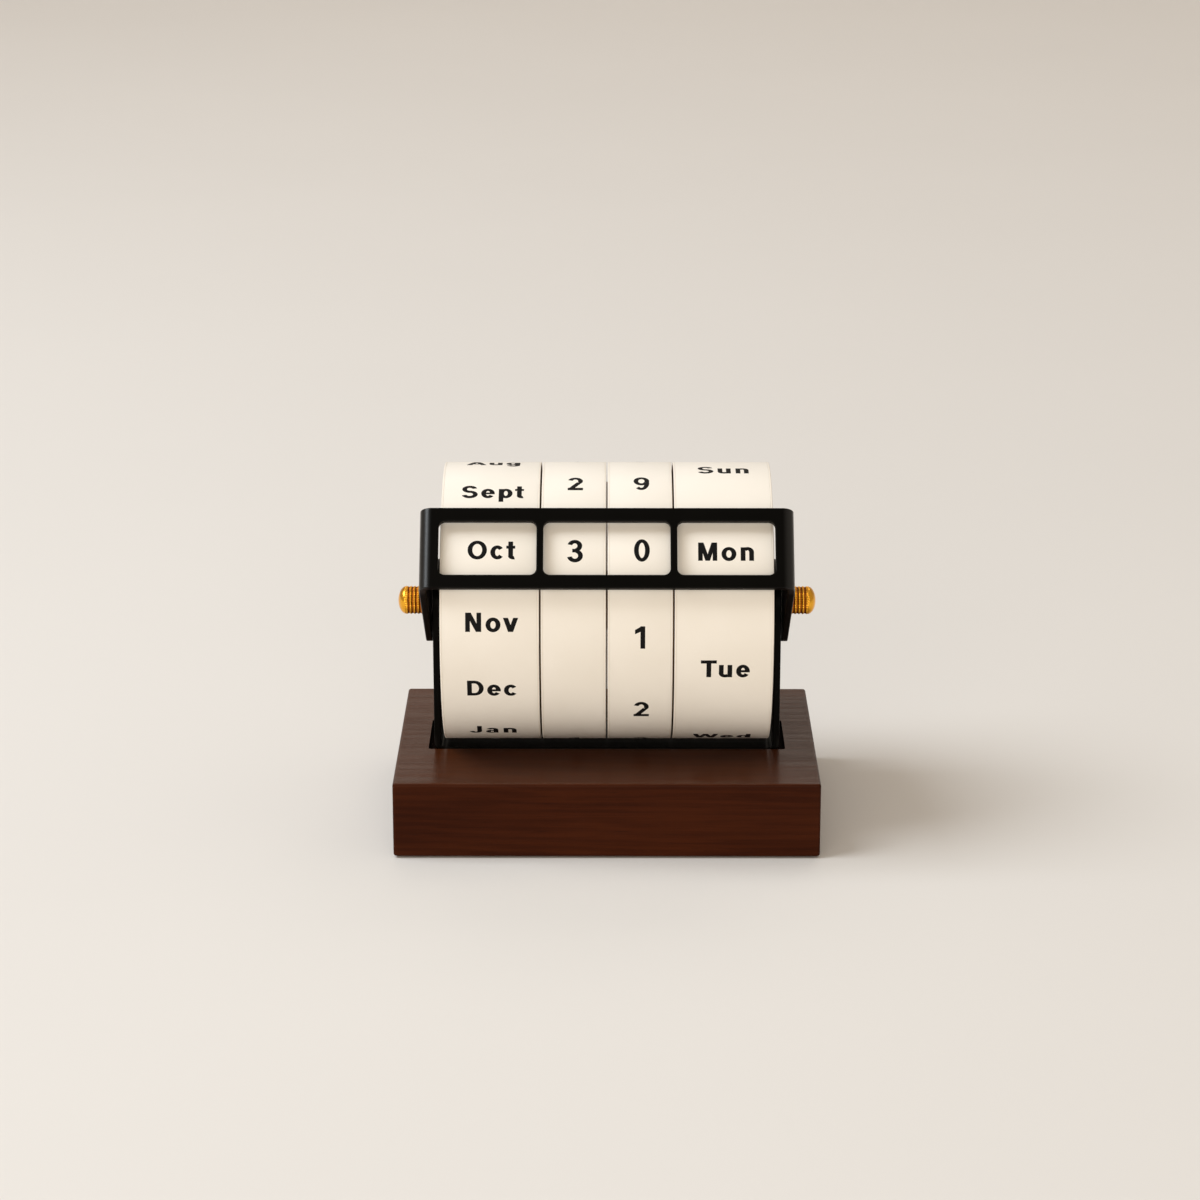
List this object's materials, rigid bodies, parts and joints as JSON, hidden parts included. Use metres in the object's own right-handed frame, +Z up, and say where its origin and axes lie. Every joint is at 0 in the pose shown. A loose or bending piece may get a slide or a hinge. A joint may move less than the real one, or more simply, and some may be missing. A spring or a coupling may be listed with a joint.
{
  "type": "desk calendar",
  "caption": "Perpetual desk calendar: lettered drums on one axle in a bent-steel yoke on a wooden base, read through a windowed bezel held by brass thumb nuts.",
  "frame": {"origin": "centre of the footprint, on the surface the calendar stands on", "axes": "+X along the axle to the reader's right, -Y towards the reader, +Z up"},
  "size_m": [0.127, 0.089, 0.1088],
  "materials": {
    "dark_wood": "satin",
    "black_coat": "satin",
    "drum_core": "satin",
    "printed_band": "satin",
    "black_ink": "matte",
    "lacquered_brass": "gloss",
    "zinc_steel": "satin",
    "spring_steel": "satin",
    "white_nylon": "satin",
    "brown_fibre": "matte",
    "felt": "matte"
  },
  "bodies": {
    "stand": {"wood_base": "dark_wood", "foot_pad_front_left": "felt", "foot_pad_front_right": "felt", "foot_pad_back_left": "felt", "foot_pad_back_right": "felt", "yoke_frame": "black_coat", "yoke_screw_left": "zinc_steel", "yoke_screw_right": "zinc_steel", "axle_rod": "zinc_steel", "axle_sleeve": "zinc_steel", "thrust_washer_left": "white_nylon", "thrust_washer_right": "white_nylon", "disc_spring": "spring_steel", "friction_washer_left": "white_nylon", "friction_washer_right": "white_nylon", "fibre_disc_left": "brown_fibre", "fibre_disc_middle": "brown_fibre", "fibre_disc_right": "brown_fibre"},
    "month_drum": {"month_core": "drum_core", "month_band": "printed_band", "month_bush_left": "white_nylon", "month_bush_right": "white_nylon"},
    "tens_drum": {"tens_core": "drum_core", "tens_band": "printed_band", "tens_bush_left": "white_nylon", "tens_bush_right": "white_nylon"},
    "units_drum": {"units_core": "drum_core", "units_band": "printed_band", "units_bush_left": "white_nylon", "units_bush_right": "white_nylon"},
    "weekday_drum": {"weekday_core": "drum_core", "weekday_band": "printed_band", "weekday_bush_left": "white_nylon", "weekday_bush_right": "white_nylon"},
    "bezel": {"window_bezel": "black_coat"},
    "left_washer": {"clamp_washer_left": "zinc_steel"},
    "left_nut": {"thumb_nut_left": "lacquered_brass"},
    "right_washer": {"clamp_washer_right": "zinc_steel"},
    "right_nut": {"thumb_nut_right": "lacquered_brass"}
  },
  "joints": [
    {"name": "month_turn", "type": "hinge", "parent": "stand", "child": "month_drum", "pos_m": [0, 0, 0.0668], "axis": [1, 0, 0], "continuous": true},
    {"name": "tens_turn", "type": "hinge", "parent": "stand", "child": "tens_drum", "pos_m": [0, 0, 0.0668], "axis": [1, 0, 0], "continuous": true},
    {"name": "units_turn", "type": "hinge", "parent": "stand", "child": "units_drum", "pos_m": [0, 0, 0.0668], "axis": [1, 0, 0], "continuous": true},
    {"name": "weekday_turn", "type": "hinge", "parent": "stand", "child": "weekday_drum", "pos_m": [0, 0, 0.0668], "axis": [1, 0, 0], "continuous": true},
    {"name": "bezel_swing", "type": "hinge", "parent": "stand", "child": "bezel", "pos_m": [0, 0, 0.0668], "axis": [-1, 0, 0], "range_deg": [-88, 194]},
    {"name": "left_nut_travel", "type": "slide", "parent": "stand", "child": "left_washer", "axis": [-1, 0, 0], "range_m": [0, 0.0021]},
    {"name": "left_nut_turn", "type": "hinge", "parent": "left_washer", "child": "left_nut", "pos_m": [-0.06, 0, 0.0668], "axis": [-1, 0, 0], "range_deg": [0, 1083]},
    {"name": "right_nut_travel", "type": "slide", "parent": "stand", "child": "right_washer", "axis": [1, 0, 0], "range_m": [0, 0.0021]},
    {"name": "right_nut_turn", "type": "hinge", "parent": "right_washer", "child": "right_nut", "pos_m": [0.06, 0, 0.0668], "axis": [1, 0, 0], "range_deg": [0, 1083]}
  ],
  "couplings": [
    {"joint": "left_nut_turn", "follows": "left_nut_travel", "rad_per_m": 8976},
    {"joint": "right_nut_turn", "follows": "right_nut_travel", "rad_per_m": 8976}
  ]
}
